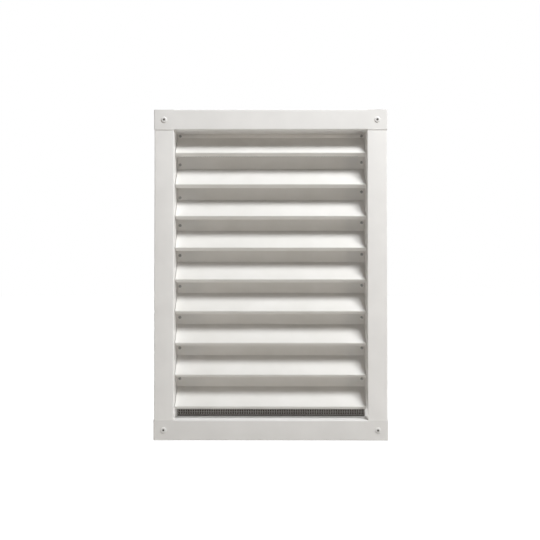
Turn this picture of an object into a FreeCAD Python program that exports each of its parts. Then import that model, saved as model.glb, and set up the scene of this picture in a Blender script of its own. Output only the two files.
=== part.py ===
import FreeCAD, Part
import math
import os
import Sketcher

# Rectangular louvred gable vent, folded from thin painted aluminium sheet.
# Millimetres. X runs across the vent, Y into the wall, Z up. The origin is the middle of the clear opening,
# in the plane of the wall that the frame's edges rest on. The front of the frame stands forward of it, at -Y.

document = FreeCAD.newDocument("gable_vent")
sheet = document.addObject("Spreadsheet::Sheet", "sizes")

LOUVERS = 9

# The small rivets down the sides, their holes and all the mandrels have few sides, to keep the facets of so
# many copies down
FEW_SIDES = 8

SIZES = (
    # Frame
    ("opening_width", 304.8),
    ("opening_height", 457.2),
    ("flange_width", 31.75),
    ("edge_depth", 6.35),
    ("frame_sheet", 0.7),
    ("bend_radius", 0.8),
    ("lap_gap", 0.05),
    ("corner_relief", 0.5),
    ("rail_return", 6.0),
    ("stile_return", 10.0),
    # Louvers
    ("louver_sheet", 0.6),
    ("first_edge_drop", 35.4),
    ("last_edge_rise", 19.0),
    ("louver_setback", 9.3),
    ("louver_end_gap", 1.0),
    ("lip_length", 10.5),
    ("lip_angle", 24.0),
    ("slope_angle", 45.0),
    ("slope_rise", 29.0),
    ("back_height", 20.0),
    ("top_back_height", 5.8),
    # Insect screen
    ("screen_inset", 1.5),
    ("screen_thickness", 0.7),
    ("screen_border", 8.0),
    ("screen_lap", 1.0),
    ("screen_bar", 3.2),
    ("screen_columns", 8),
    ("screen_rows", 10),
    # Blind rivets. Sizes across are radii
    ("hole_clearance", 0.05),
    ("mandrel_clearance", 0.05),
    ("mandrel_recess", 0.5),
    ("corner_shank", 2.4),
    ("corner_head", 4.75),
    ("corner_rim", 0.4),
    ("corner_head_height", 1.3),
    ("corner_dome_radius", 13.0),
    ("corner_bulb", 3.2),
    ("corner_bulb_tip", 2.4),
    ("corner_bulb_length", 2.6),
    ("corner_mandrel", 1.3),
    ("corner_mandrel_head", 2.1),
    ("corner_mandrel_head_length", 2.0),
    ("small_shank", 1.2),
    ("small_head", 2.5),
    ("small_head_height", 0.8),
    ("small_bulb", 1.8),
    ("small_bulb_length", 2.2),
    ("small_mandrel", 0.65),
    ("small_mandrel_head", 1.05),
    ("small_mandrel_head_length", 1.0),
    ("small_rivet_inset", 5.0),
)

# How far each hand-set rivet stands above the blade's rear bend, from the top louver down
LEFT_RIVET_RISES = (3.1, 6.8, 3.4, 8.7, 10.5, 10.8, 10.8, 11.6, 12.5)
RIGHT_RIVET_RISES = (3.1, 10.4, 12.7, 13.3, 12.1, 12.1, 10.5, 11.6, 12.2)


def fill_sheet():
    """Write every driving size into the sheet, one named cell a row."""
    rows = list(SIZES)
    for louver, (left, right) in enumerate(zip(LEFT_RIVET_RISES, RIGHT_RIVET_RISES), 1):
        rows.append((f"left_rivet_rise_{louver}", left))
        rows.append((f"right_rivet_rise_{louver}", right))
    for row, (alias, amount) in enumerate(rows, 1):
        sheet.set(f"A{row}", alias)
        sheet.set(f"B{row}", str(amount))
        sheet.setAlias(f"B{row}", alias)
    document.recompute()


def cell(alias):
    return f"sizes.{alias}"


def number(expression):
    """The present value of an expression on the sheet's cells."""
    return float(sheet.evalExpression(str(expression)))


# Planes and edges that more than one piece shares, as expressions on the cells
HALF_WIDTH = "sizes.opening_width / 2"
HALF_HEIGHT = "sizes.opening_height / 2"
FLANGE_FRONT = "-sizes.edge_depth"
OUTER_X = f"({HALF_WIDTH} + sizes.flange_width)"
OUTER_Z = f"({HALF_HEIGHT} + sizes.flange_width)"
BLADE_EDGE = f"({FLANGE_FRONT} + sizes.louver_setback)"
SLOPE_RUN = "(sizes.slope_rise / tan(sizes.slope_angle))"
BLADE_BACK = f"({BLADE_EDGE} + {SLOPE_RUN})"
RETURN_FRONT = f"({BLADE_BACK} + sizes.louver_sheet + sizes.lap_gap)"
RETURN_BACK = f"({RETURN_FRONT} + sizes.frame_sheet)"
SCREEN_FRONT = f"({RETURN_BACK} + sizes.lap_gap)"
DRILL_START = f"({BLADE_BACK} - sizes.louver_sheet)"
DRILL_END = f"({SCREEN_FRONT} + 2 * sizes.screen_thickness)"
STILE_FRONT = f"({FLANGE_FRONT} + sizes.frame_sheet + sizes.lap_gap)"
STILE_OUTER_X = f"({OUTER_X} - sizes.frame_sheet - sizes.lap_gap)"
STILE_END_Z = f"({OUTER_Z} - sizes.frame_sheet - sizes.bend_radius)"
STILE_BACK = f"({STILE_FRONT} + sizes.frame_sheet)"
BEND = "(sizes.bend_radius + sizes.frame_sheet)"
SMALL_RIVET_X = f"({HALF_WIDTH} - sizes.small_rivet_inset)"
CORNER_RIVET_X = f"({HALF_WIDTH} + sizes.flange_width / 2)"
CORNER_RIVET_Z = f"({HALF_HEIGHT} + sizes.flange_width / 2)"


def louver_level(louver):
    """Height of a louver's front edge, louver 1 being the top one. The edges are evenly spaced."""
    pitch = f"(sizes.opening_height - sizes.first_edge_drop - sizes.last_edge_rise) / {LOUVERS - 1}"
    return f"({HALF_HEIGHT} - sizes.first_edge_drop - {louver - 1} * {pitch})"


def small_rivet_place(side, louver, depth):
    """Where a small rivet crosses a depth, on the left or right side of a louver's back flange."""
    across = SMALL_RIVET_X if side == "right" else f"-{SMALL_RIVET_X}"
    return across, depth, f"{louver_level(louver)} + sizes.slope_rise + sizes.{side}_rivet_rise_{louver}"


def new_body(name):
    body = document.addObject("PartDesign::Body", name)
    body.Label = name
    return body


def put_at(item, place):
    """Bind an object's place to three expressions, across, back and up."""
    for axis, distance in zip("xyz", place):
        item.setExpression(f"Placement.Base.{axis}", distance)


def origin_feature(body, role):
    return next(item for item in body.Origin.OriginFeatures if item.Role == role)


def new_sketch(body, name, plane, offset=None):
    """Sketch on one of the body's own origin planes. offset moves it along the plane's normal."""
    sketch = body.newObject("Sketcher::SketchObject", name)
    sketch.AttachmentSupport = [(origin_feature(body, plane), "")]
    sketch.MapMode = "FlatFace"
    if offset is not None:
        sketch.setExpression("AttachmentOffset.Base.z", offset)
    return sketch


def constrain(sketch, kind, *where, to=None):
    """Add one constraint, and bind it to an expression when one is given."""
    if to is None:
        sketch.addConstraint(Sketcher.Constraint(kind, *where))
        return
    index = sketch.addConstraint(Sketcher.Constraint(kind, *where, number(to)))
    sketch.setExpression(f"Constraints[{index}]", str(to))


def vector(point):
    return FreeCAD.Vector(point[0], point[1], 0)


def place_point(sketch, geometry, end, point):
    """Fix an end of a piece of geometry at two expressions, measured from the sketch's origin."""
    for kind, amount in zip(("DistanceX", "DistanceY"), point):
        constrain(sketch, kind, -1, 1, geometry, end, to=amount)


def add_rectangle(sketch, low, high):
    """Rectangle between two corners, each a pair of expressions."""
    left, bottom = (number(amount) for amount in low)
    right, top = (number(amount) for amount in high)
    points = [(left, bottom), (right, bottom), (right, top), (left, top)]
    lines = []
    for start, end in zip(points, points[1:] + points[:1]):
        lines.append(sketch.addGeometry(Part.LineSegment(vector(start), vector(end)), False))
    for line, following in zip(lines, lines[1:] + lines[:1]):
        constrain(sketch, "Coincident", line, 2, following, 1)
    for line, kind in zip(lines, ("Horizontal", "Vertical", "Horizontal", "Vertical")):
        constrain(sketch, kind, line)
    place_point(sketch, lines[0], 1, low)
    place_point(sketch, lines[2], 1, high)


def add_hole(sketch, centre, radius):
    circle = Part.Circle(vector([number(amount) for amount in centre]), FreeCAD.Vector(0, 0, 1), number(radius))
    hole = sketch.addGeometry(circle, False)
    place_point(sketch, hole, 3, centre)
    constrain(sketch, "Radius", hole, to=radius)


def unit(start, end):
    length = math.hypot(end[0] - start[0], end[1] - start[1])
    return ((end[0] - start[0]) / length, (end[1] - start[1]) / length)


def shifted(point, direction, distance):
    return (point[0] + direction[0] * distance, point[1] + direction[1] * distance)


def add_folded_strip(sketch, path, side, thickness):
    """Section of a sheet folded along a path of sharp corners, with a round bend at each.

    path holds the corners as pairs of expressions, ends included. side 1 puts the sheet's thickness on the
    left of the path and -1 on the right. Inside bends have the sheet's bend radius.
    """
    points = [tuple(number(amount) for amount in point) for point in path]
    thick = number(thickness)
    inside = number(cell("bend_radius"))
    along = [unit(start, end) for start, end in zip(points, points[1:])]
    across = [(-way[1] * side, way[0] * side) for way in along]

    # Each bend: centre, radius on the path's face and on the far face, and the way the path turns
    bends = []
    for index in range(1, len(points) - 1):
        turn = along[index - 1][0] * along[index][1] - along[index - 1][1] * along[index][0]
        toward_sheet = 1 if turn * side > 0 else -1
        near = inside + thick if toward_sheet > 0 else inside
        far = near - toward_sheet * thick
        one, two = across[index - 1], across[index]
        reach = toward_sheet * near / (1 + one[0] * two[0] + one[1] * two[1])
        centre = shifted(points[index], (one[0] + two[0], one[1] + two[1]), reach)
        bends.append((centre, near, far, toward_sheet, turn > 0))

    def face(radius_slot):
        """Lines and arcs of one face of the sheet, joined tangent, from the first end to the last."""
        lift = 0.0 if radius_slot == 1 else thick
        lines, arcs = [], []
        start = shifted(points[0], across[0], lift)
        for index, bend in enumerate(bends):
            centre, toward_sheet, radius = bend[0], bend[3], bend[radius_slot]
            leave = shifted(centre, across[index], -toward_sheet * radius)
            arrive = shifted(centre, across[index + 1], -toward_sheet * radius)
            lines.append(sketch.addGeometry(Part.LineSegment(vector(start), vector(leave)), False))
            first, last = (leave, arrive) if bend[4] else (arrive, leave)
            angles = [math.atan2(point[1] - centre[1], point[0] - centre[0]) for point in (first, last)]
            circle = Part.Circle(vector(centre), FreeCAD.Vector(0, 0, 1), radius)
            arcs.append(sketch.addGeometry(Part.ArcOfCircle(circle, *angles), False))
            start = arrive
        end = shifted(points[-1], across[-1], lift)
        lines.append(sketch.addGeometry(Part.LineSegment(vector(start), vector(end)), False))
        for index, (arc, bend) in enumerate(zip(arcs, bends)):
            near_end, far_end = (1, 2) if bend[4] else (2, 1)
            constrain(sketch, "Tangent", lines[index], 2, arc, near_end)
            constrain(sketch, "Tangent", arc, far_end, lines[index + 1], 1)
        return lines, arcs

    path_lines, path_arcs = face(1)
    far_lines, far_arcs = face(2)
    for path_line, far_line in zip(path_lines, far_lines):
        constrain(sketch, "Parallel", path_line, far_line)
    for path_arc, far_arc, bend in zip(path_arcs, far_arcs, bends):
        constrain(sketch, "Coincident", path_arc, 3, far_arc, 3)
        inner_arc = far_arc if bend[3] > 0 else path_arc
        constrain(sketch, "Radius", inner_arc, to=cell("bend_radius"))

    # The two cut ends of the sheet
    for end, path_line, far_line in ((1, path_lines[0], far_lines[0]), (2, path_lines[-1], far_lines[-1])):
        corner = 0 if end == 1 else -1
        near, far = points[corner], shifted(points[corner], across[corner], thick)
        cap = sketch.addGeometry(Part.LineSegment(vector(near), vector(far)), False)
        constrain(sketch, "Coincident", cap, 1, path_line, end)
        constrain(sketch, "Coincident", cap, 2, far_line, end)
        constrain(sketch, "Perpendicular", cap, path_line)
        if end == 1:
            constrain(sketch, "Distance", cap, 1, cap, 2, to=thickness)

    # The sharp corners lie where the faces' lines would meet
    place_point(sketch, path_lines[0], 1, path[0])
    place_point(sketch, path_lines[-1], 2, path[-1])
    for index, corner in enumerate(path[1:-1]):
        mark = sketch.addGeometry(Part.Point(vector(points[index + 1])), True)
        constrain(sketch, "PointOnObject", mark, 1, path_lines[index])
        constrain(sketch, "PointOnObject", mark, 1, path_lines[index + 1])
        place_point(sketch, mark, 1, corner)


def pad_both_ways(body, name, sketch, length):
    """Solid made from a sketch, half to each side of its plane."""
    pad = body.newObject("PartDesign::Pad", name)
    pad.Profile = sketch
    pad.SideType = "Symmetric"
    pad.setExpression("Length", length)
    body.Tip = pad
    document.recompute()


def pad_one_way(body, name, sketch, length, reverse=False):
    pad = body.newObject("PartDesign::Pad", name)
    pad.Profile = sketch
    pad.Reversed = reverse
    pad.setExpression("Length", length)
    body.Tip = pad
    document.recompute()
    return pad


def finish_cut(body, cut):
    """Make a cut the body's last feature, and see that it took metal away."""
    before = body.Shape.Volume
    body.Tip = cut
    document.recompute()
    if not body.Shape.Volume < before - 1e-6:
        raise ValueError(f"{body.Label}: {cut.Name} cuts nothing")


def cut_through(body, name, sketch):
    """Cut a sketch right through the body, both ways."""
    pocket = body.newObject("PartDesign::Pocket", name)
    pocket.Profile = sketch
    pocket.SideType = "Symmetric"
    pocket.Type = "ThroughAll"
    finish_cut(body, pocket)


def cut_to_depth(body, name, sketch, depth):
    """Cut a sketch down behind its plane."""
    pocket = body.newObject("PartDesign::Pocket", name)
    pocket.Profile = sketch
    pocket.setExpression("Length", depth)
    finish_cut(body, pocket)


def new_prism(body, name, kind, radius, start, end):
    """Many-sided bar along the body's Y axis from one depth to another. kind is Additive or Subtractive."""
    prism = body.newObject(f"PartDesign::{kind}Prism", name)
    prism.AttachmentSupport = [(origin_feature(body, "XZ_Plane"), "")]
    prism.MapMode = "FlatFace"
    prism.Polygon = FEW_SIDES
    prism.setExpression("Circumradius", radius)
    prism.setExpression("Height", f"({end}) - ({start})")
    prism.setExpression("AttachmentOffset.Base.z", f"-({end})")
    return prism


def add_bar(body, name, radius, start, end):
    body.Tip = new_prism(body, name, "Additive", radius, start, end)
    document.recompute()


def make_small_holes():
    """The drill's path for each small rivet, from in front of the blades' back flanges to past the screen."""
    holes = {}
    for side in ("left", "right"):
        for louver in range(1, LOUVERS + 1):
            hole = document.addObject("Part::Prism", f"{side}_hole_{louver}")
            hole.Polygon = FEW_SIDES
            hole.setExpression("Circumradius", "sizes.small_shank + sizes.hole_clearance")
            hole.setExpression("Height", f"{DRILL_END} - {DRILL_START}")
            hole.Placement.Rotation = FreeCAD.Rotation(FreeCAD.Vector(1, 0, 0), -90)
            put_at(hole, small_rivet_place(side, louver, DRILL_START))
            holes[side, louver] = hole
    return holes


def drill(body, name, holes):
    """The piece with small rivet holes cut through it where it stands."""
    drills = document.addObject("Part::Compound", f"{name}_holes")
    drills.Links = holes
    piece = document.addObject("Part::Cut", name)
    piece.Label = name
    piece.Base = body
    piece.Tool = drills
    document.recompute()
    if not piece.Shape.Volume < body.Shape.Volume - 1e-6:
        raise ValueError(f"{name}: the holes cut nothing")
    return piece


def turn_upside_down(body):
    """Half a turn about the front-to-back axis brings a piece to the opposite side of the frame."""
    body.Placement = FreeCAD.Placement(FreeCAD.Vector(), FreeCAD.Rotation(FreeCAD.Vector(0, 1, 0), 180))


def make_rail(name):
    """Top rail. The bottom one is the same piece turned upside down.

    A strip with its outer edge folded back to the wall, a front flange, a throat wall and a rear return.
    At both ends the flange runs on over the stile as a square tab, with its end folded back too.
    """
    body = new_body(name)
    section = new_sketch(body, f"{name}_section", "YZ_Plane")
    path = [
        ("0", OUTER_Z),
        (FLANGE_FRONT, OUTER_Z),
        (FLANGE_FRONT, HALF_HEIGHT),
        (RETURN_FRONT, HALF_HEIGHT),
        (RETURN_FRONT, f"{HALF_HEIGHT} - sizes.rail_return"),
    ]
    add_folded_strip(section, path, 1, cell("frame_sheet"))
    strip_end = f"({OUTER_X} - {BEND} - sizes.corner_relief)"
    pad_both_ways(body, f"{name}_strip", section, f"2 * {strip_end}")

    # The throat wall stops inside the stiles
    ends = new_sketch(body, f"{name}_ends", "XZ_Plane")
    low = f"{HALF_HEIGHT} - sizes.rail_return - sizes.flange_width"
    high = f"{HALF_HEIGHT} + {BEND}"
    wall_end = f"({HALF_WIDTH} - sizes.lap_gap)"
    add_rectangle(ends, (wall_end, low), (f"{OUTER_X}", high))
    add_rectangle(ends, (f"-{OUTER_X}", low), (f"-{wall_end}", high))
    cut_through(body, f"{name}_wall_ends", ends)

    # The rear return stops inside the stiles' returns
    notch = new_sketch(body, f"{name}_notch", "XZ_Plane")
    return_end = f"({HALF_WIDTH} - sizes.stile_return - sizes.corner_relief)"
    return_top = f"{HALF_HEIGHT} - sizes.lap_gap"
    add_rectangle(notch, (return_end, low), (f"{OUTER_X}", return_top))
    add_rectangle(notch, (f"-{OUTER_X}", low), (f"-{return_end}", return_top))
    cut_through(body, f"{name}_return_ends", notch)

    # Square end tabs with folded ends
    for side, way in (("left", "-"), ("right", "")):
        tab = new_sketch(body, f"{name}_{side}_tab_section", "XY_Plane", f"{HALF_HEIGHT}")
        tab_path = [
            (f"{way}{OUTER_X}", "0"),
            (f"{way}{OUTER_X}", FLANGE_FRONT),
            (f"{way}({HALF_WIDTH} - sizes.lap_gap + sizes.corner_relief)", FLANGE_FRONT),
        ]
        add_folded_strip(tab, tab_path, 1 if side == "left" else -1, cell("frame_sheet"))
        pad_one_way(body, f"{name}_{side}_tab", tab, cell("flange_width"))

    holes = new_sketch(body, f"{name}_holes", "XZ_Plane")
    for way in ("-", ""):
        add_hole(holes, (f"{way}{CORNER_RIVET_X}", CORNER_RIVET_Z), "sizes.corner_shank + sizes.hole_clearance")
    cut_through(body, f"{name}_rivet_holes", holes)
    return body


def make_stile(side, holes):
    """Stile of one side. The right one is the left one turned upside down, then drilled in its place.

    Its flange and outer edge run behind the rails' flanges to the corners. Its throat wall and rear return
    stop at the rails' walls, and the return carries the louvers' rivets.
    """
    name = f"{side}_stile"
    body = new_body(f"{name}_sheet")
    section = new_sketch(body, f"{name}_section", "XY_Plane")
    path = [
        (f"-{STILE_OUTER_X}", "0"),
        (f"-{STILE_OUTER_X}", STILE_FRONT),
        (f"-{HALF_WIDTH}", STILE_FRONT),
        (f"-{HALF_WIDTH}", RETURN_FRONT),
        (f"-{HALF_WIDTH} + sizes.stile_return", RETURN_FRONT),
    ]
    add_folded_strip(section, path, 1, cell("frame_sheet"))
    pad_both_ways(body, f"{name}_strip", section, f"2 * {STILE_END_Z}")

    # Past the rails' walls only the flange and its outer edge run on
    ends = new_sketch(body, f"{name}_ends", "YZ_Plane")
    wall_end = f"({HALF_HEIGHT} + sizes.frame_sheet)"
    low = f"{STILE_BACK} + sizes.lap_gap"
    high = f"{RETURN_BACK} + sizes.flange_width"
    add_rectangle(ends, (low, wall_end), (high, OUTER_Z))
    add_rectangle(ends, (low, f"-{OUTER_Z}"), (high, f"-{wall_end}"))
    cut_to_depth(body, f"{name}_wall_ends", ends, f"{STILE_OUTER_X} - {BEND}")

    # The rear return stops below the rails' walls
    notch = new_sketch(body, f"{name}_notch", "XZ_Plane")
    inner = f"-{HALF_WIDTH} + sizes.stile_return + sizes.corner_relief"
    return_end = f"({HALF_HEIGHT} - sizes.lap_gap)"
    add_rectangle(notch, (f"-{HALF_WIDTH}", return_end), (inner, OUTER_Z))
    add_rectangle(notch, (f"-{HALF_WIDTH}", f"-{OUTER_Z}"), (inner, f"-{return_end}"))
    cut_through(body, f"{name}_return_ends", notch)

    corner_holes = new_sketch(body, f"{name}_corner_holes", "XZ_Plane")
    for way in ("", "-"):
        place = (f"-{CORNER_RIVET_X}", f"{way}{CORNER_RIVET_Z}")
        add_hole(corner_holes, place, "sizes.corner_shank + sizes.hole_clearance")
    cut_through(body, f"{name}_corner_cut", corner_holes)
    if side == "right":
        turn_upside_down(body)
    return drill(body, name, [holes[side, louver] for louver in range(1, LOUVERS + 1)])


def make_louver(louver, holes):
    """One blade: a lip turned under the front edge, a slope that sheds the rain and an upright back flange."""
    name = f"louver_{louver}"
    body = new_body(f"{name}_sheet")
    back_height = cell("top_back_height") if louver == 1 else cell("back_height")
    section = new_sketch(body, f"{name}_section", "YZ_Plane")
    path = [
        (
            f"{BLADE_EDGE} + sizes.lip_length * cos(sizes.lip_angle)",
            "-sizes.lip_length * sin(sizes.lip_angle)",
        ),
        (BLADE_EDGE, "0"),
        (BLADE_BACK, cell("slope_rise")),
        (BLADE_BACK, f"sizes.slope_rise + {back_height}"),
    ]
    add_folded_strip(section, path, -1, cell("louver_sheet"))
    pad_both_ways(body, f"{name}_blade", section, "sizes.opening_width - 2 * sizes.louver_end_gap")

    put_at(body, ("0", "0", louver_level(louver)))
    return drill(body, name, [holes["left", louver], holes["right", louver]])


def make_screen(holes):
    """Insect screen: two crossing sets of wires as ridges on the two faces of one wall, in a border strip."""
    body = new_body("insect_screen_sheet")
    half_x = f"({HALF_WIDTH} - sizes.screen_inset)"
    half_z = f"({HALF_HEIGHT} - sizes.screen_inset)"
    inner_x = f"({half_x} - sizes.screen_border)"
    inner_z = f"({half_z} - sizes.screen_border)"
    border = new_sketch(body, "screen_border_outline", "XZ_Plane", f"-{SCREEN_FRONT}")
    add_rectangle(border, (f"-{half_x}", f"-{half_z}"), (half_x, half_z))
    add_rectangle(border, (f"-{inner_x}", f"-{inner_z}"), (inner_x, inner_z))
    pad_one_way(body, "screen_border_strip", border, cell("screen_thickness"), reverse=True)

    # Upright ridges in the front half of the thickness, level ones in the rear half
    runs = (
        ("upright", "X_Axis", SCREEN_FRONT, inner_x, inner_z, "screen_columns"),
        ("level", "Z_Axis", f"({SCREEN_FRONT} + sizes.screen_thickness / 2)", inner_z, inner_x, "screen_rows"),
    )
    for kind, axis, front, reach, length, count in runs:
        step = f"(2 * {reach} / sizes.{count})"
        first = f"(-{reach} + {step})"
        near, far = f"({first} - sizes.screen_bar / 2)", f"({first} + sizes.screen_bar / 2)"
        end = f"({length} + sizes.screen_lap)"
        bar = new_sketch(body, f"screen_{kind}_ridge", "XZ_Plane", f"-{front}")
        if kind == "upright":
            add_rectangle(bar, (near, f"-{end}"), (far, end))
        else:
            add_rectangle(bar, (f"-{end}", near), (end, far))
        ridge = pad_one_way(body, f"screen_{kind}_bar", bar, "sizes.screen_thickness / 2", reverse=True)
        pattern = body.newObject("PartDesign::LinearPattern", f"screen_{kind}_bars")
        pattern.Originals = [ridge]
        pattern.Direction = (origin_feature(body, axis), [""])
        pattern.setExpression("Length", f"{step} * (sizes.{count} - 2)")
        pattern.setExpression("Occurrences", f"sizes.{count} - 1")
        body.Tip = pattern
        document.recompute()
    return drill(body, "insect_screen", list(holes.values()))


def dome(top, rim, radius):
    """Arc from the top of a dome down to its rim, bulging to the right of the way there."""
    chord = rim - top
    rise = radius - math.sqrt(radius ** 2 - chord.Length ** 2 / 4)
    outward = FreeCAD.Vector(chord.y, -chord.x, 0).normalize()
    return Part.Arc(top, (top + rim) * 0.5 + outward * rise, rim)


def add_domed_outline(sketch, path, dome_radius):
    """Closed outline through corners given as expressions, its first side a dome, the rest straight."""
    points = [vector([number(amount) for amount in point]) for point in path]
    shapes = [dome(points[0], points[1], number(dome_radius))]
    shapes += [Part.LineSegment(start, end) for start, end in zip(points[1:], points[2:] + points[:1])]
    sides = [sketch.addGeometry(shape, False) for shape in shapes]
    for side, following in zip(sides, sides[1:] + sides[:1]):
        constrain(sketch, "Coincident", side, 2, following, 1)
    for side, corner in zip(sides, path):
        place_point(sketch, side, 1, corner)
    constrain(sketch, "Radius", sides[0], to=dome_radius)


def blind_end(kind, grip):
    """Depth of a set rivet's blind end, behind the sheets that it grips."""
    return f"({grip} + sizes.{kind}_bulb_length)"


def make_corner_rivet(grip):
    """Set blind rivet: domed head toward -Y, seat at depth 0, and a bulb pressed up behind the sheets."""
    bore = "(sizes.corner_mandrel + sizes.mandrel_clearance)"
    rivet = new_body("corner_rivet")
    section = new_sketch(rivet, "corner_rivet_section", "XY_Plane")
    path = [
        (bore, "-sizes.corner_head_height"),
        ("sizes.corner_head", "-sizes.corner_rim"),
        ("sizes.corner_head", "0"),
        ("sizes.corner_shank", "0"),
        ("sizes.corner_shank", grip),
        ("sizes.corner_bulb", grip),
        ("sizes.corner_bulb_tip", blind_end("corner", grip)),
        (bore, blind_end("corner", grip)),
    ]
    add_domed_outline(section, path, cell("corner_dome_radius"))
    turned = rivet.newObject("PartDesign::Revolution", "corner_rivet_turned")
    turned.Profile = section
    turned.ReferenceAxis = (section, ["V_Axis"])
    turned.Angle = 360
    rivet.Tip = turned
    document.recompute()
    return rivet


def make_small_rivet(grip):
    """The same for the small rivets down the sides, with a few-sided head, shank, bulb and bore."""
    rivet = new_body("small_rivet")
    add_bar(rivet, "small_rivet_head", "sizes.small_head", "-sizes.small_head_height", "0")
    add_bar(rivet, "small_rivet_shank", "sizes.small_shank", "0", grip)
    add_bar(rivet, "small_rivet_bulb", "sizes.small_bulb", grip, blind_end("small", grip))
    bore = "(sizes.small_mandrel + sizes.mandrel_clearance)"
    through = ("-2 * sizes.small_head_height", f"2 * {blind_end('small', grip)}")
    finish_cut(rivet, new_prism(rivet, "small_rivet_bore", "Subtractive", bore, *through))
    return rivet


def make_mandrel(kind, grip):
    """The pin that set a rivet, snapped off below the head's top. Its own head plugs the rivet's blind end."""
    plug = f"({blind_end(kind, grip)} + sizes.mandrel_clearance)"
    snapped = f"(sizes.mandrel_recess - sizes.{kind}_head_height)"
    pin_end = f"{plug} + sizes.{kind}_mandrel_head_length"
    mandrel = new_body(f"{kind}_mandrel")
    add_bar(mandrel, f"{kind}_mandrel_stem", f"sizes.{kind}_mandrel", snapped, plug)
    add_bar(mandrel, f"{kind}_mandrel_plug", f"sizes.{kind}_mandrel_head", plug, pin_end)
    return mandrel


def place_copies(name, original, places):
    """One group of equal pieces, each a linked copy of the original with its seat at its own place."""
    copies = []
    for index, place in enumerate(places, 1):
        copy = document.addObject("App::Link", f"{name}_{index}")
        copy.LinkedObject = original
        put_at(copy, place)
        copies.append(copy)
    group = document.addObject("Part::Compound", name)
    group.Label = name
    group.Links = copies
    return group


def make_rivets():
    """Blind rivets in the frame's corners and down both sides, each with its mandrel snapped off inside."""
    grip = "(2 * sizes.frame_sheet + sizes.lap_gap)"
    corners = [
        (f"{across}{CORNER_RIVET_X}", FLANGE_FRONT, f"{up}{CORNER_RIVET_Z}")
        for across in ("-", "")
        for up in ("", "-")
    ]
    groups = [
        place_copies("corner_rivets", make_corner_rivet(grip), corners),
        place_copies("corner_rivet_mandrels", make_mandrel("corner", grip), corners),
    ]

    grip = "(sizes.louver_sheet + sizes.frame_sheet + sizes.screen_thickness + 2 * sizes.lap_gap)"
    rivet, mandrel = make_small_rivet(grip), make_mandrel("small", grip)
    for side in ("left", "right"):
        places = [small_rivet_place(side, louver, BLADE_BACK) for louver in range(1, LOUVERS + 1)]
        groups.append(place_copies(f"{side}_louver_rivets", rivet, places))
        groups.append(place_copies(f"{side}_rivet_mandrels", mandrel, places))
    return groups


def make_vent():
    fill_sheet()
    holes = make_small_holes()
    pieces = [make_rail("top_rail"), make_rail("bottom_rail")]
    turn_upside_down(pieces[1])
    pieces += [make_stile("left", holes), make_stile("right", holes)]
    pieces += [make_louver(louver, holes) for louver in range(1, LOUVERS + 1)]
    pieces.append(make_screen(holes))
    pieces += make_rivets()
    document.recompute()
    return pieces


def check(pieces):
    """Stop if any feature failed or any piece is empty or faulty."""
    for item in document.Objects:
        if "Invalid" in item.State or "Error" in item.State:
            raise ValueError(f"{item.Label} failed: {item.State}")
    for piece in pieces:
        if piece.Shape.isNull() or not piece.Shape.isValid():
            raise ValueError(f"{piece.Label} has no sound shape")


def write(pieces):
    os.makedirs("parts", exist_ok=True)
    for piece in pieces:
        piece.Shape.exportStep(os.path.join("parts", f"{piece.Label}.step"))
        box = piece.Shape.BoundBox
        print(
            f"{piece.Label}: {len(piece.Shape.Solids)} solid(s), {piece.Shape.Volume:.1f} mm3, "
            f"X {box.XMin:.2f} to {box.XMax:.2f}, Y {box.YMin:.2f} to {box.YMax:.2f}, "
            f"Z {box.ZMin:.2f} to {box.ZMax:.2f}"
        )


vent = make_vent()
check(vent)
write(vent)
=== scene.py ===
# Louvred gable vent of white painted aluminium sheet, seen from the front.
# Metres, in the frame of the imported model: X across the vent, Y into the wall, Z up.
import math

import bpy
from mathutils import Matrix, Vector


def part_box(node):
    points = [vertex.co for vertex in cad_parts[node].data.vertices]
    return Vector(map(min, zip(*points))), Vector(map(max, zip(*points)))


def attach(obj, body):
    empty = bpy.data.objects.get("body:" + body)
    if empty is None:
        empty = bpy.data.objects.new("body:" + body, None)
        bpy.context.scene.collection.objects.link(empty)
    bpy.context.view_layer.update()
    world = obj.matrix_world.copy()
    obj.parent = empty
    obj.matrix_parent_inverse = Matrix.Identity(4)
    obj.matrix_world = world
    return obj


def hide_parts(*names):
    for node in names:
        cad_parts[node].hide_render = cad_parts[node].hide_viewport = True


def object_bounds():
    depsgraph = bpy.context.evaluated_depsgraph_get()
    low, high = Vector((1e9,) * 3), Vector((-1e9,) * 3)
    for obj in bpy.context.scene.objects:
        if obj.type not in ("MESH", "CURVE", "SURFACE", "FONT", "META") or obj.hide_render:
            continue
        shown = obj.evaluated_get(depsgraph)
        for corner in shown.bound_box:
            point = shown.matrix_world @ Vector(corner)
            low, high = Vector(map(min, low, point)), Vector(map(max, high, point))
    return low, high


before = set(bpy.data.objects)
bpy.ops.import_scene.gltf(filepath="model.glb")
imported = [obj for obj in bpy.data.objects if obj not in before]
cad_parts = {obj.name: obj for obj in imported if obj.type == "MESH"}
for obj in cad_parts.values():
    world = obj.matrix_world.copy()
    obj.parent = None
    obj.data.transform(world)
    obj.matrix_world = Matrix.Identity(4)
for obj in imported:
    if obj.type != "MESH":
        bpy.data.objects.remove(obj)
cad_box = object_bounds()

MM = 0.001
LOUVERS = 9

# Points closer than this are one point, and edges that turn by less than this look smooth
MERGE = 0.001 * MM
SMOOTH_ANGLE = math.radians(40)

# Woven wire of the insect screen. The real mesh is about 3.2 mm, drawn a little coarser here so that it shows.
MESH_PITCH = 3.8 * MM
WIRE_RADIUS = 0.175 * MM
WIRE_SIDES = 4

# Rivets. The dome stops short of level, at a small rim, and the shank bulges out over a short shoulder. Points of
# a rivet node that are further apart in height than RIVETS_APART belong to different rivets.
DOME_STEPS = 4
DOME_SHARE = 0.9
BULB_SHOULDER = 0.2 * MM
CORNER_RIVET_SIDES = 40
SMALL_RIVET_SIDES = 24
RIVETS_APART = 10 * MM

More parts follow.
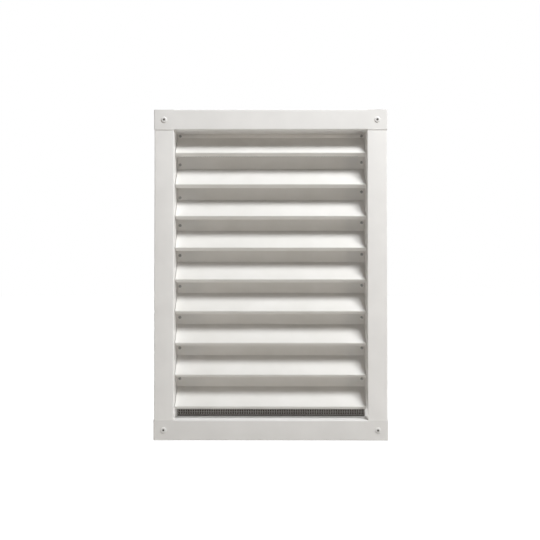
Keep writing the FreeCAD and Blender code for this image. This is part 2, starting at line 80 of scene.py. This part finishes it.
# Sizes of the rivets, as in the solids: radii, and depths from the head's seat
CORNER_RIVET = {
    "shank": 2.4 * MM,
    "bore": 1.35 * MM,
    "bulb": 3.2 * MM,
    "bulb_tip": 2.4 * MM,
    "rim": 0.4 * MM,
    "dome": 1.3 * MM,
    "grip": 1.45 * MM,
    "blind_end": 4.05 * MM,
}
SMALL_RIVET = {
    "shank": 1.2 * MM,
    "bore": 0.7 * MM,
    "bulb": 1.8 * MM,
    "bulb_tip": 1.4 * MM,
    "rim": 0.3 * MM,
    "dome": 0.8 * MM,
    "grip": 2.1 * MM,
    "blind_end": 4.3 * MM,
}

# Depth of the bend at the rear of a wall, and the distance from the vent's middle to the stiles' rear bends
REAR_BEND = 1.5 * MM
NOTCH_HALF_WIDTH = 151.6 * MM

# Camera: its place, how far it looks up and to the left, and its lens on a 36 mm sensor
CAMERA_PLACE = (0.007, -1.206, -0.012)
LOOKS_UP = 0.91
LOOKS_LEFT = 0.38
LENS = 50.85
SENSOR_WIDTH = 36
FAR_CLIP = 100

# Floor: how far below the vent, how wide, and the radii between which it fades to plain white
FLOOR_DROP = 0.35
FLOOR_SPAN = 60
FADE_FROM, FADE_TO = 0.25, 0.55
GLOW_NEAR, GLOW_FAR = 0.55, 1.0

# Dark cards of painted shade behind the screen: their gap from it, how far inside its sides and top the upper one
# stops, how far beside the notches the lower one goes, and how far below the screen
CARD_GAP = 0.1 * MM
CARD_SIDE_MARGIN = 8 * MM
CARD_TOP_MARGIN = 1.5 * MM
CARD_LAP = 0.1 * MM
CARD_FOOT = 2.1 * MM

# Light: strengths of the even fill and of the floor's glow, then each softbox's place, size, power and colour.
# The low ones in front are warm, because the photo's shaded sides are.
FILL = 0.02
FLOOR_GLOW = 0.03
SOFTBOXES = {
    "key, high on the right": ((0.68, -0.85, 1.40), 0.65, 33.7, "#fcfeff"),
    "right, low": ((1.2, -1.2, -0.35), 0.5, 2.6, "#fff1df"),
    "left, low": ((-1.2, -1.0, -0.35), 0.5, 2.0, "#fff1df"),
    "back, low": ((-0.9, 1.25, -0.32), 0.5, 8, "#ffffff"),
}


def linear(hex_colour):
    """Linear colour from an sRGB hex value."""
    parts = [int(hex_colour[index:index + 2], 16) / 255 for index in (1, 3, 5)]
    return [part / 12.92 if part <= 0.04045 else ((part + 0.055) / 1.055) ** 2.4 for part in parts] + [1.0]


def add_node(tree, kind, inputs=None, **settings):
    """Add one node. inputs gives sockets their values, or the outputs that they are linked to."""
    node = tree.nodes.new(kind)
    for name, setting in settings.items():
        setattr(node, name, setting)
    for name, source in (inputs or {}).items():
        if isinstance(source, bpy.types.NodeSocket):
            tree.links.new(source, node.inputs[name])
        else:
            node.inputs[name].default_value = source
    return node


def features_of(size_mm):
    """Noise scale on Object coordinates that gives features of about this size."""
    return 1 / (size_mm * MM)


def new_finish(name):
    """Material with an empty tree, its Object coordinates and its output."""
    material = bpy.data.materials.new(name)
    material.use_nodes = True
    tree = material.node_tree
    tree.nodes.clear()
    place = add_node(tree, "ShaderNodeTexCoord").outputs["Object"]
    output = add_node(tree, "ShaderNodeOutputMaterial")
    return material, tree, place, output


def mottled(tree, place, size_mm, dull, light):
    """Colour that wanders between two ends over patches of a real size."""
    noise = add_node(tree, "ShaderNodeTexNoise", {"Vector": place, "Scale": features_of(size_mm), "Detail": 3.0})
    ramp = add_node(tree, "ShaderNodeValToRGB", {"Fac": noise.outputs["Fac"]})
    for end, position, colour in zip(ramp.color_ramp.elements, (0.3, 0.7), (dull, light)):
        end.position = position
        end.color = colour
    return ramp.outputs["Color"]


def coated_aluminium(name, light, dull):
    """Baked polyester coating on rolled aluminium sheet.

    A satin white with a faint orange peel, on sheet that isn't quite flat, so reflections wander slightly.
    """
    material, tree, place, output = new_finish(name)
    smears = add_node(
        tree, "ShaderNodeTexNoise", {"Vector": place, "Scale": features_of(25), "Detail": 2.0}
    )
    gloss = add_node(
        tree, "ShaderNodeMapRange", {"Value": smears.outputs["Fac"], "To Min": 0.34, "To Max": 0.46}
    )
    waves = add_node(
        tree, "ShaderNodeTexNoise", {"Vector": place, "Scale": features_of(60), "Detail": 1.0}
    )
    peel = add_node(
        tree, "ShaderNodeTexNoise", {"Vector": place, "Scale": features_of(1.5), "Detail": 1.0}
    )
    waviness = add_node(
        tree, "ShaderNodeBump", {"Height": waves.outputs["Fac"], "Strength": 1.0, "Distance": 0.5 * MM}
    )
    orange_peel = add_node(
        tree,
        "ShaderNodeBump",
        {
            "Height": peel.outputs["Fac"],
            "Strength": 1.0,
            "Distance": 0.012 * MM,
            "Normal": waviness.outputs["Normal"],
        },
    )
    paint = add_node(
        tree,
        "ShaderNodeBsdfPrincipled",
        {
            "Base Color": mottled(tree, place, 40, linear(dull), linear(light)),
            "Roughness": gloss.outputs["Result"],
            "IOR": 1.48,
            "Normal": orange_peel.outputs["Normal"],
        },
    )
    tree.links.new(paint.outputs["BSDF"], output.inputs["Surface"])
    return material


def bare_metal(name, light, dull, patch_mm, rough, scratch_mm):
    """Uncoated metal with patches of dull oxide and a fine drawn or rolled grain."""
    material, tree, place, output = new_finish(name)
    oxide = add_node(
        tree, "ShaderNodeTexNoise", {"Vector": place, "Scale": features_of(patch_mm), "Detail": 3.0}
    )
    roughness = add_node(
        tree,
        "ShaderNodeMapRange",
        {"Value": oxide.outputs["Fac"], "To Min": rough + 0.1, "To Max": rough - 0.1},
    )
    grain = add_node(
        tree, "ShaderNodeTexNoise", {"Vector": place, "Scale": features_of(scratch_mm), "Detail": 2.0}
    )
    scratches = add_node(
        tree,
        "ShaderNodeBump",
        {"Height": grain.outputs["Fac"], "Strength": 1.0, "Distance": 0.02 * scratch_mm * MM},
    )
    metal = add_node(
        tree,
        "ShaderNodeBsdfPrincipled",
        {
            "Base Color": mottled(tree, place, patch_mm, linear(dull), linear(light)),
            "Metallic": 1.0,
            "Roughness": roughness.outputs["Result"],
            "Normal": scratches.outputs["Normal"],
        },
    )
    tree.links.new(metal.outputs["BSDF"], output.inputs["Surface"])
    return material


def dress(piece, finish):
    """Give a piece or a CAD node one finish all over."""
    if not piece.material_slots:
        piece.data.materials.append(finish)
    for slot in piece.material_slots:
        slot.material = finish


def start_piece():
    """Leave edit mode and deselect everything, before a new primitive."""
    if bpy.context.mode != "OBJECT":
        bpy.ops.object.mode_set(mode="OBJECT")
    bpy.ops.object.select_all(action="DESELECT")


def place_in_mesh(piece):
    """Move the piece's place and turn into its mesh, so that its object sits at the origin."""
    bpy.ops.object.select_all(action="DESELECT")
    piece.select_set(True)
    bpy.context.view_layer.objects.active = piece
    bpy.ops.object.transform_apply(location=True, rotation=True, scale=True)


def repeat(piece, step, count):
    """Copies of the piece in a row, each a step from the last, joined where their ends meet."""
    row = piece.modifiers.new("row", "ARRAY")
    row.use_relative_offset = False
    row.use_constant_offset = True
    row.constant_offset_displace = step
    row.count = count
    row.use_merge_vertices = True
    row.merge_threshold = 0.1 * WIRE_RADIUS
    bpy.ops.object.modifier_apply(modifier=row.name)


def draw_crimped_wire(start, along, crimp):
    """Two crossings' length of one wire, bent over and under the wires that it crosses."""
    turn = (0, 0, 0) if along.z else (0, math.pi / 2, 0)
    bpy.ops.mesh.primitive_circle_add(
        vertices=WIRE_SIDES, radius=WIRE_RADIUS, fill_type="NOTHING", location=start + crimp, rotation=turn
    )
    bpy.ops.object.mode_set(mode="EDIT")
    # From one face of the screen to the other, and back
    for way in (-2, 2):
        bpy.ops.mesh.extrude_edges_move(TRANSFORM_OT_translate={"value": along * MESH_PITCH + way * crimp})
    bpy.ops.object.mode_set(mode="OBJECT")
    wire = bpy.context.object
    place_in_mesh(wire)
    return wire


def weave_wires(name, along, across, side):
    """One set of the screen's wires, cut from the roll to the screen's outline.

    side is 1 or -1: which face of the screen the set's first crossing stands on.
    """
    low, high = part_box("insect_screen")
    middle = (low + high) / 2
    wires = [math.ceil((high - low).dot(way) / MESH_PITCH / 2) * 2 for way in (across, along)]
    corner = middle - (across * (wires[0] - 1) + along * (wires[1] - 1)) * MESH_PITCH / 2
    crimp = Vector((0, WIRE_RADIUS * side, 0))
    start_piece()
    first = draw_crimped_wire(corner, along, crimp)
    start_piece()
    wire = draw_crimped_wire(corner + across * MESH_PITCH, along, -crimp)
    first.select_set(True)
    bpy.ops.object.join()
    repeat(wire, along * MESH_PITCH * 2, wires[1] // 2)
    repeat(wire, across * MESH_PITCH * 2, wires[0] // 2)
    bpy.ops.object.mode_set(mode="EDIT")
    for way in (along, across):
        for edge, outward in ((high, way), (low, -way)):
            bpy.ops.mesh.select_all(action="SELECT")
            bpy.ops.mesh.bisect(plane_co=edge, plane_no=outward, clear_outer=True, use_fill=False)
    bpy.ops.mesh.select_all(action="SELECT")
    bpy.ops.mesh.fill_holes(sides=WIRE_SIDES)
    bpy.ops.mesh.normals_make_consistent(inside=False)
    bpy.ops.object.mode_set(mode="OBJECT")
    bpy.ops.object.shade_smooth()
    wire.name = name
    return wire


def turn_rivet(seat, head_radius, rivet, sides):
    """Round blind rivet with its axis along Y, open through its middle where the mandrel sits."""
    depth_of_dome = rivet["dome"] - rivet["rim"]
    rings = []
    for step in range(DOME_STEPS + 1):
        angle = math.pi / 2 * (1 - step / DOME_STEPS) * DOME_SHARE
        radius = rivet["bore"] + (head_radius - rivet["bore"]) * math.cos(angle)
        rings.append((radius, -rivet["rim"] - depth_of_dome * math.sin(angle)))
    rings += [
        (head_radius, 0),
        (rivet["shank"], 0),
        (rivet["shank"], rivet["grip"]),
        (rivet["bulb"], rivet["grip"] + BULB_SHOULDER),
        (rivet["bulb_tip"], rivet["blind_end"]),
        (rivet["bore"], rivet["blind_end"]),
        rings[0],
    ]
    start_piece()
    radius, depth = rings[0]
    bpy.ops.mesh.primitive_circle_add(
        vertices=sides,
        radius=radius,
        fill_type="NOTHING",
        location=seat + Vector((0, depth, 0)),
        rotation=(math.pi / 2, 0, 0),
    )
    bpy.ops.object.mode_set(mode="EDIT")
    for next_radius, next_depth in rings[1:]:
        bpy.ops.mesh.extrude_edges_move(TRANSFORM_OT_translate={"value": (0, next_depth - depth, 0)})
        growth = next_radius / radius
        bpy.ops.transform.resize(value=(growth, 1, growth), center_override=seat)
        radius, depth = next_radius, next_depth
    bpy.ops.mesh.select_all(action="SELECT")
    bpy.ops.mesh.remove_doubles(threshold=MERGE)
    bpy.ops.mesh.normals_make_consistent(inside=False)
    bpy.ops.object.mode_set(mode="OBJECT")
    bpy.ops.object.shade_smooth_by_angle(angle=SMOOTH_ANGLE)
    piece = bpy.context.object
    place_in_mesh(piece)
    return piece


def copy_to(piece, step):
    """A copy of a piece with its own mesh, moved by a step."""
    twin = piece.copy()
    twin.data = piece.data.copy()
    twin.data.transform(Matrix.Translation(step))
    bpy.context.collection.objects.link(twin)
    return twin


def join_as(name, parts):
    """Join parts into one named piece."""
    start_piece()
    for part in parts:
        part.select_set(True)
    bpy.context.view_layer.objects.active = parts[0]
    bpy.ops.object.join()
    parts[0].name = name
    return parts[0]


def heights_of(node):
    """Middle heights of the rivets in a CAD node, from the lowest."""
    levels = sorted(vertex.co.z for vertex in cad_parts[node].data.vertices)
    groups = [[levels[0]]]
    for level in levels[1:]:
        if level - groups[-1][-1] > RIVETS_APART:
            groups.append([])
        groups[-1].append(level)
    return [(group[0] + group[-1]) / 2 for group in groups]


def make_rivets(node, name, rivet, sides, finish):
    """All the rivets of a CAD node as round ones, in one piece that stands for the node."""
    low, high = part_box(node)
    heights = heights_of(node)
    head_radius = high.z - heights[-1]
    columns = [(low.x + high.x) / 2]
    if node == "corner_rivets":
        columns = [low.x + head_radius, high.x - head_radius]
    places = [Vector((across, low.y + rivet["dome"], up)) for across in columns for up in heights]
    first = turn_rivet(places[0], head_radius, rivet, sides)
    parts = [first] + [copy_to(first, place - places[0]) for place in places[1:]]
    piece = join_as(name, parts)
    dress(piece, finish)
    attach(piece, "root")
    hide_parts(node)


def cut_from_solid(node, name, low, high, finish):
    """A piece that stands for a CAD node: a merged copy of its mesh, with one box cut out of it."""
    piece = bpy.data.objects.new(name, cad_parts[node].data.copy())
    bpy.context.collection.objects.link(piece)
    start_piece()
    piece.select_set(True)
    bpy.context.view_layer.objects.active = piece
    bpy.ops.mesh.customdata_custom_splitnormals_clear()
    bpy.ops.object.mode_set(mode="EDIT")
    bpy.ops.mesh.select_all(action="SELECT")
    bpy.ops.mesh.remove_doubles(threshold=MERGE)
    start_piece()
    bpy.ops.mesh.primitive_cube_add(size=1, location=(low + high) / 2)
    cutter = bpy.context.object
    cutter.scale = high - low
    place_in_mesh(cutter)
    cut = piece.modifiers.new("cut", "BOOLEAN")
    cut.operation = "DIFFERENCE"
    cut.solver = "EXACT"
    cut.object = cutter
    start_piece()
    piece.select_set(True)
    bpy.context.view_layer.objects.active = piece
    bpy.ops.object.modifier_apply(modifier=cut.name)
    bpy.data.objects.remove(cutter)
    bpy.ops.object.shade_smooth_by_angle(angle=SMOOTH_ANGLE)
    dress(piece, finish)
    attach(piece, "root")
    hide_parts(node)


def notch_top():
    """Height at which the stiles' rear returns stop, behind the lower edge of the lowest louver."""
    return min(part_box(f"louver_{number}")[0].z for number in range(1, LOUVERS + 1))


def open_bottom_gap(rail_coat, stile_coat_painted_lighter):
    """Bottom rail and stiles without their rear returns below the lowest louver.

    The mesh is seen right down to the rail's wall and right out to the stiles', where the solids' returns
    would hide it. The rail's wall ends square instead.
    """
    low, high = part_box("bottom_rail")
    wall_end = high.y - REAR_BEND
    margin = Vector((MM, MM, MM))
    cut_from_solid(
        "bottom_rail", "square_ended_bottom_rail", Vector((low.x, wall_end, low.z)), high + margin, rail_coat
    )
    for side in ("left", "right"):
        low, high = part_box(f"{side}_stile")
        cut_from_solid(
            f"{side}_stile",
            f"notched_{side}_stile",
            Vector((-NOTCH_HALF_WIDTH, wall_end, low.z - MM)),
            Vector((NOTCH_HALF_WIDTH, high.y + MM, notch_top())),
            stile_coat_painted_lighter,
        )


def make_screen(finish):
    """Woven screen: upright wires and level wires, passing over and under each other."""
    upright, across = Vector((0, 0, 1)), Vector((1, 0, 0))
    sets = [
        weave_wires("screen_upright_wires", upright, across, 1),
        weave_wires("screen_level_wires", across, upright, -1),
    ]
    for wires in sets:
        dress(wires, finish)
        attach(wires, "root")
        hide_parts("insect_screen")


def make_camera():
    """Camera in front of the vent's middle, as in the photograph."""
    lens = bpy.data.cameras.new("camera")
    lens.lens = LENS
    lens.sensor_width = SENSOR_WIDTH
    lens.clip_end = FAR_CLIP
    camera = bpy.data.objects.new("camera", lens)
    camera.location = CAMERA_PLACE
    camera.rotation_euler = (math.radians(90 + LOOKS_UP), 0, math.radians(LOOKS_LEFT))
    bpy.context.collection.objects.link(camera)
    bpy.context.scene.camera = camera


def add_softbox(name, place, size, power, colour):
    """Square soft light that faces the middle of the vent."""
    light = bpy.data.lights.new(name, "AREA")
    light.shape = "SQUARE"
    light.size = size
    light.energy = power
    light.color = linear(colour)[:3]
    lamp = bpy.data.objects.new(name, light)
    lamp.location = place
    lamp.rotation_euler = (-Vector(place)).to_track_quat("-Z", "Y").to_euler()
    bpy.context.collection.objects.link(lamp)


def seen_directly(tree):
    """1 for rays from the camera, from gloss or through glass, which see the backdrop as it is."""
    path = add_node(tree, "ShaderNodeLightPath")
    mirror = add_node(
        tree,
        "ShaderNodeMath",
        {0: path.outputs["Is Glossy Ray"], 1: path.outputs["Is Transmission Ray"]},
        operation="MAXIMUM",
    )
    return add_node(
        tree,
        "ShaderNodeMath",
        {0: path.outputs["Is Camera Ray"], 1: mirror.outputs[0]},
        operation="MAXIMUM",
    ).outputs[0]


def make_backdrop():
    """White all round for the camera and for gloss, and an even warm fill for everything else."""
    world = bpy.data.worlds.new("backdrop")
    bpy.context.scene.world = world
    world.use_nodes = True
    tree = world.node_tree
    tree.nodes.clear()
    fill = add_node(tree, "ShaderNodeBackground", {"Color": linear("#fff9f0"), "Strength": FILL})
    white = add_node(tree, "ShaderNodeBackground", {"Color": linear("#ffffff"), "Strength": 1.0})
    both = add_node(
        tree,
        "ShaderNodeMixShader",
        {"Fac": seen_directly(tree), 1: fill.outputs[0], 2: white.outputs[0]},
    )
    add_node(tree, "ShaderNodeOutputWorld", {"Surface": both.outputs[0]})


def make_floor():
    """Pale floor some way below the vent, which fades to plain white away from the vent's shadow."""
    bpy.ops.mesh.primitive_plane_add(size=FLOOR_SPAN, location=(0, 0, cad_box[0].z - FLOOR_DROP))
    floor = bpy.context.object
    floor.name = "floor"
    place_in_mesh(floor)
    material, tree, place, output = new_finish("pale studio floor")
    flat = add_node(tree, "ShaderNodeVectorMath", {0: place, 1: (1, 1, 0)}, operation="MULTIPLY")
    away = add_node(tree, "ShaderNodeVectorMath", {0: flat.outputs[0]}, operation="LENGTH").outputs["Value"]
    strength = add_node(
        tree,
        "ShaderNodeMapRange",
        {"Value": away, "From Min": FADE_FROM, "From Max": FADE_TO, "To Min": GLOW_NEAR, "To Max": GLOW_FAR},
    )
    matt = add_node(tree, "ShaderNodeBsdfDiffuse", {"Color": linear("#e4e4e2")})
    glow = add_node(
        tree, "ShaderNodeEmission", {"Color": linear("#ffffff"), "Strength": strength.outputs["Result"]}
    )
    bounce = add_node(tree, "ShaderNodeEmission", {"Color": linear("#fffcf8"), "Strength": FLOOR_GLOW})
    bright = add_node(
        tree, "ShaderNodeMixShader", {"Fac": seen_directly(tree), 1: bounce.outputs[0], 2: glow.outputs[0]}
    )
    seen = add_node(tree, "ShaderNodeAddShader", {0: matt.outputs[0], 1: bright.outputs[0]})
    tree.links.new(seen.outputs[0], output.inputs["Surface"])
    dress(floor, material)


def make_dark_wall_space():
    """Dark cards close behind the screen: painted shade, a dim grey that glows at a fixed level, for the unlit
    space that a fitted vent opens into.

    They show from the front only. From behind they are clear, and they take no part in lighting the vent. The
    upper one stops behind the stiles' returns. The lower one is wider, because the returns are notched there.
    """
    material, tree, place, output = new_finish("painted shade for the unlit space in the wall")
    # Painted shade: a dim mottled grey that glows by itself at a fixed level, whatever light reaches it
    grey = mottled(tree, place, 60, linear("#3b3733"), linear("#474340"))
    painted_shade_glow = add_node(tree, "ShaderNodeEmission", {"Color": grey, "Strength": 1.0})
    clear = add_node(tree, "ShaderNodeBsdfTransparent")
    side = add_node(tree, "ShaderNodeNewGeometry").outputs["Backfacing"]
    seen = add_node(tree, "ShaderNodeMixShader", {"Fac": side, 1: painted_shade_glow.outputs[0], 2: clear.outputs[0]})
    tree.links.new(seen.outputs[0], output.inputs["Surface"])
    low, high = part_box("insect_screen")
    cards = {
        "dark_wall_space": (high.x - CARD_SIDE_MARGIN, notch_top(), high.z - CARD_TOP_MARGIN),
        "dark_wall_space_below": (NOTCH_HALF_WIDTH + CARD_LAP, low.z - CARD_FOOT, notch_top()),
    }
    for name, (half_width, bottom, top) in cards.items():
        start_piece()
        middle = (0, high.y + CARD_GAP, (bottom + top) / 2)
        bpy.ops.mesh.primitive_plane_add(size=1, location=middle, rotation=(math.pi / 2, 0, 0))
        card = bpy.context.object
        card.name = name
        card.scale = (2 * half_width, top - bottom, 1)
        place_in_mesh(card)
        for ray in ("diffuse", "glossy", "shadow", "transmission"):
            setattr(card, f"visible_{ray}", False)
        dress(card, material)


def set_scene():
    """Camera, backdrop, floor, dark cards of painted shade, and lights."""
    make_camera()
    make_backdrop()
    start_piece()
    make_floor()
    make_dark_wall_space()
    for name, (place, size, power, colour) in SOFTBOXES.items():
        add_softbox(name, place, size, power, colour)
    bpy.context.scene.view_settings.view_transform = "Standard"


def finish_vent():
    """Give every piece its finish, and put in the cut-back frame, the woven screen and the round rivets."""
    # One satin white in three copies, a touch lighter on the stiles and darker on the louvers, as in the photo:
    # painted light on the stiles and painted shade on the louvers, for how bright they look rather than a
    # different paint
    rail_coat = coated_aluminium("satin white polyester coating, rails", "#edebe9", "#e8e6e4")
    stile_coat_painted_lighter = coated_aluminium("satin white polyester coating, stiles, painted lighter", "#f4f2f0", "#efedeb")
    louver_coat_painted_darker = coated_aluminium("satin white polyester coating, louvers, painted darker", "#ebe9e6", "#e5e3df")
    # Dull drawn wire, with a soft glint along each strand
    wire = bare_metal("drawn aluminium wire", "#bfbeba", "#a09f9b", 4, 0.42, 0.3)
    # Mill-finish rivets, matt grey dots on the white blades
    rivet_metal = bare_metal("plain aluminium rivet", "#b9b8b5", "#93928f", 2, 0.45, 0.2)
    # Snapped steel mandrels, the dark middle of each rivet: partly the steel's own grey, partly painted shade for
    # the recess they sit in
    steel = bare_metal("snapped steel mandrel, darkened with painted shade", "#5c5955", "#3a3733", 1, 0.5, 0.2)
    dress(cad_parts["top_rail"], rail_coat)
    open_bottom_gap(rail_coat, stile_coat_painted_lighter)
    for louver in range(1, LOUVERS + 1):
        dress(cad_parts[f"louver_{louver}"], louver_coat_painted_darker)
    for name in ("corner_rivet_mandrels", "left_rivet_mandrels", "right_rivet_mandrels"):
        dress(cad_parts[name], steel)
    make_screen(wire)
    make_rivets("corner_rivets", "round_corner_rivets", CORNER_RIVET, CORNER_RIVET_SIDES, rail_coat)
    make_rivets("left_louver_rivets", "round_left_rivets", SMALL_RIVET, SMALL_RIVET_SIDES, rivet_metal)
    make_rivets("right_louver_rivets", "round_right_rivets", SMALL_RIVET, SMALL_RIVET_SIDES, rivet_metal)


finish_vent()
set_scene()
